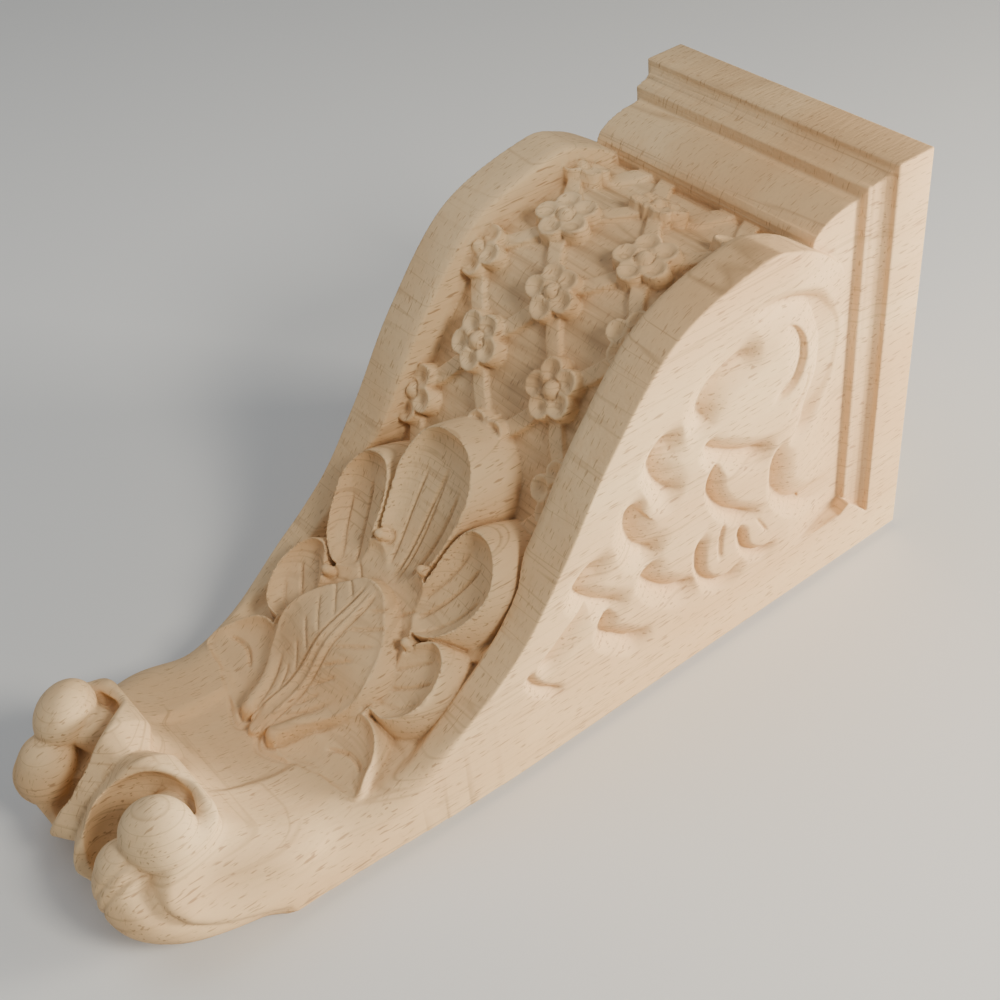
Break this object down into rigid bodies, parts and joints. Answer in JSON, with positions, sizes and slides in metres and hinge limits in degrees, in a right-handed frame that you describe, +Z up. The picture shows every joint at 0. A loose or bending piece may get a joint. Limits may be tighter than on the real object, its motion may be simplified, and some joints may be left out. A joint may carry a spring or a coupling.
{
  "type": "carved corbel",
  "caption": "Hand-carved beech corbel with a moulded cap, a sunk panel of flowers on a ribbon lattice, a palm leaf and paired scrolls at the foot, built into a wall to carry a shelf or mantel.",
  "frame": {"origin": "middle of the flat back face, where the corbel meets the wall", "axes": "+X across the width, +Y out of the back into the wall, the carved front faces -Y, +Z up along the height"},
  "size_m": [0.14, 0.19, 0.386],
  "materials": {
    "beech": "matte"
  },
  "bodies": {
    "root": {"corbel": "beech"}
  },
  "joints": []
}
